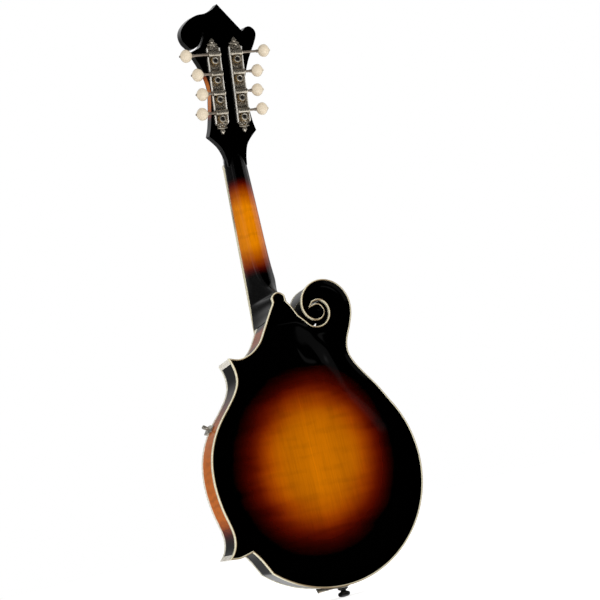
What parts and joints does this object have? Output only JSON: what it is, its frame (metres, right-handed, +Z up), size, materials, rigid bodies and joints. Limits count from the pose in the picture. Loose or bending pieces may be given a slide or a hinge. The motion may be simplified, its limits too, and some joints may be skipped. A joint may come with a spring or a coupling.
{
  "type": "mandolin",
  "caption": "Scroll-body mandolin with carved sunburst back, two body points, bound edges, f-holes, curled headstock and paired worm-gear tuners.",
  "frame": {"origin": "centre of the end pin's outer flat face, on the body's centre line", "axes": "+Z up the body to the headstock, +Y out of the back plate, +X to the treble side with the two points"},
  "size_m": [0.2554, 0.1112, 0.715],
  "materials": {
    "dark_lacquer": "high gloss black lacquer",
    "back_maple": "high gloss sunburst lacquer over flamed maple",
    "rim_maple": "high gloss sunburst lacquer over flamed maple",
    "spruce": "high gloss sunburst lacquer over spruce",
    "inner_wood": "raw sanded wood",
    "ivoroid": "polished grained ivory-coloured celluloid",
    "ebony": "oiled satin",
    "nickel": "polished nickel plate",
    "brass": "satin",
    "bone": "polished bone",
    "steel": "plain drawn steel",
    "bronze": "wound bronze wire",
    "black_plastic": "polished"
  },
  "bodies": {
    "body": {"back_plate": "back_maple", "binding_back": "ivoroid", "binding_top": "ivoroid", "bridge_base": "ebony", "end_pin": "black_plastic", "fingerboard": "ebony", "headstock_veneer": "dark_lacquer", "lining_back": "inner_wood", "lining_top": "inner_wood", "neck": "dark_lacquer", "neck_block": "inner_wood", "nut": "bone", "pickguard": "black_plastic", "pickguard_bracket": "nickel", "rim": "rim_maple", "soundboard": "spruce", "string_a_1": "steel", "string_a_2": "steel", "string_d_1": "bronze", "string_d_2": "bronze", "string_e_1": "steel", "string_e_2": "steel", "string_g_1": "bronze", "string_g_2": "bronze", "tail_block": "inner_wood", "tailpiece_base": "nickel", "tone_bar_bass": "inner_wood", "tone_bar_treble": "inner_wood", "truss_rod": "steel", "truss_rod_cover": "black_plastic", "tuner_plate_bass": "nickel", "tuner_plate_treble": "nickel"},
    "tuner_key_bass_1": {"worm_shaft_bass_1": "nickel", "button_bass_1": "ivoroid"},
    "string_roller_bass_1": {"string_post_bass_1": "nickel"},
    "tuner_key_bass_2": {"worm_shaft_bass_2": "nickel", "button_bass_2": "ivoroid"},
    "string_roller_bass_2": {"string_post_bass_2": "nickel"},
    "tuner_key_bass_3": {"worm_shaft_bass_3": "nickel", "button_bass_3": "ivoroid"},
    "string_roller_bass_3": {"string_post_bass_3": "nickel"},
    "tuner_key_bass_4": {"worm_shaft_bass_4": "nickel", "button_bass_4": "ivoroid"},
    "string_roller_bass_4": {"string_post_bass_4": "nickel"},
    "tuner_key_treble_1": {"worm_shaft_treble_1": "nickel", "button_treble_1": "ivoroid"},
    "string_roller_treble_1": {"string_post_treble_1": "nickel"},
    "tuner_key_treble_2": {"worm_shaft_treble_2": "nickel", "button_treble_2": "ivoroid"},
    "string_roller_treble_2": {"string_post_treble_2": "nickel"},
    "tuner_key_treble_3": {"worm_shaft_treble_3": "nickel", "button_treble_3": "ivoroid"},
    "string_roller_treble_3": {"string_post_treble_3": "nickel"},
    "tuner_key_treble_4": {"worm_shaft_treble_4": "nickel", "button_treble_4": "ivoroid"},
    "string_roller_treble_4": {"string_post_treble_4": "nickel"},
    "saddle": {"bridge_saddle": "ebony"},
    "wheel_bass": {"thumbwheel_bass": "brass"},
    "wheel_treble": {"thumbwheel_treble": "brass"},
    "cover": {"tailpiece_cover": "nickel"}
  },
  "joints": [
    {"name": "key_turn_bass_1", "type": "hinge", "parent": "body", "child": "tuner_key_bass_1", "pos_m": [-0.0142, 0.0409, 0.65284], "axis": [1, 0, 0], "continuous": true},
    {"name": "post_turn_bass_1", "type": "hinge", "parent": "body", "child": "string_roller_bass_1", "pos_m": [-0.0142, 0.03857, 0.64571], "axis": [0, 0.9505, -0.3107], "continuous": true},
    {"name": "key_turn_bass_2", "type": "hinge", "parent": "body", "child": "tuner_key_bass_2", "pos_m": [-0.0142, 0.03369, 0.63079], "axis": [1, 0, 0], "continuous": true},
    {"name": "post_turn_bass_2", "type": "hinge", "parent": "body", "child": "string_roller_bass_2", "pos_m": [-0.0142, 0.03136, 0.62366], "axis": [0, 0.9505, -0.3107], "continuous": true},
    {"name": "key_turn_bass_3", "type": "hinge", "parent": "body", "child": "tuner_key_bass_3", "pos_m": [-0.0142, 0.02648, 0.60873], "axis": [1, 0, 0], "continuous": true},
    {"name": "post_turn_bass_3", "type": "hinge", "parent": "body", "child": "string_roller_bass_3", "pos_m": [-0.0142, 0.02415, 0.6016], "axis": [0, 0.9505, -0.3107], "continuous": true},
    {"name": "key_turn_bass_4", "type": "hinge", "parent": "body", "child": "tuner_key_bass_4", "pos_m": [-0.0142, 0.01927, 0.58668], "axis": [1, 0, 0], "continuous": true},
    {"name": "post_turn_bass_4", "type": "hinge", "parent": "body", "child": "string_roller_bass_4", "pos_m": [-0.0142, 0.01694, 0.57955], "axis": [0, 0.9505, -0.3107], "continuous": true},
    {"name": "key_turn_treble_1", "type": "hinge", "parent": "body", "child": "tuner_key_treble_1", "pos_m": [0.0142, 0.0409, 0.65284], "axis": [1, 0, 0], "continuous": true},
    {"name": "post_turn_treble_1", "type": "hinge", "parent": "body", "child": "string_roller_treble_1", "pos_m": [0.0142, 0.03857, 0.64571], "axis": [0, 0.9505, -0.3107], "continuous": true},
    {"name": "key_turn_treble_2", "type": "hinge", "parent": "body", "child": "tuner_key_treble_2", "pos_m": [0.0142, 0.03369, 0.63079], "axis": [1, 0, 0], "continuous": true},
    {"name": "post_turn_treble_2", "type": "hinge", "parent": "body", "child": "string_roller_treble_2", "pos_m": [0.0142, 0.03136, 0.62366], "axis": [0, 0.9505, -0.3107], "continuous": true},
    {"name": "key_turn_treble_3", "type": "hinge", "parent": "body", "child": "tuner_key_treble_3", "pos_m": [0.0142, 0.02648, 0.60873], "axis": [1, 0, 0], "continuous": true},
    {"name": "post_turn_treble_3", "type": "hinge", "parent": "body", "child": "string_roller_treble_3", "pos_m": [0.0142, 0.02415, 0.6016], "axis": [0, 0.9505, -0.3107], "continuous": true},
    {"name": "key_turn_treble_4", "type": "hinge", "parent": "body", "child": "tuner_key_treble_4", "pos_m": [0.0142, 0.01927, 0.58668], "axis": [1, 0, 0], "continuous": true},
    {"name": "post_turn_treble_4", "type": "hinge", "parent": "body", "child": "string_roller_treble_4", "pos_m": [0.0142, 0.01694, 0.57955], "axis": [0, 0.9505, -0.3107], "continuous": true},
    {"name": "saddle_height", "type": "slide", "parent": "body", "child": "saddle", "axis": [0, -1, 0], "range_m": [-0.0008, 0]},
    {"name": "thumbwheel_turn_bass", "type": "hinge", "parent": "saddle", "child": "wheel_bass", "pos_m": [-0.031, -0.04609, 0.17784], "axis": [0, 1, 0], "range_deg": [-411.6, 0]},
    {"name": "thumbwheel_turn_treble", "type": "hinge", "parent": "saddle", "child": "wheel_treble", "pos_m": [0.031, -0.04609, 0.17784], "axis": [0, 1, 0], "range_deg": [-411.6, 0]},
    {"name": "cover_slide", "type": "slide", "parent": "body", "child": "cover", "axis": [0, 0, 1], "range_m": [0, 0.008]}
  ],
  "couplings": [
    {"joint": "post_turn_bass_1", "follows": "key_turn_bass_1", "ratio": -0.071429},
    {"joint": "post_turn_bass_2", "follows": "key_turn_bass_2", "ratio": -0.071429},
    {"joint": "post_turn_bass_3", "follows": "key_turn_bass_3", "ratio": -0.071429},
    {"joint": "post_turn_bass_4", "follows": "key_turn_bass_4", "ratio": -0.071429},
    {"joint": "post_turn_treble_1", "follows": "key_turn_treble_1", "ratio": 0.071429},
    {"joint": "post_turn_treble_2", "follows": "key_turn_treble_2", "ratio": 0.071429},
    {"joint": "post_turn_treble_3", "follows": "key_turn_treble_3", "ratio": 0.071429},
    {"joint": "post_turn_treble_4", "follows": "key_turn_treble_4", "ratio": 0.071429},
    {"joint": "thumbwheel_turn_bass", "follows": "saddle_height", "rad_per_m": 8976},
    {"joint": "thumbwheel_turn_treble", "follows": "saddle_height", "rad_per_m": 8976}
  ]
}
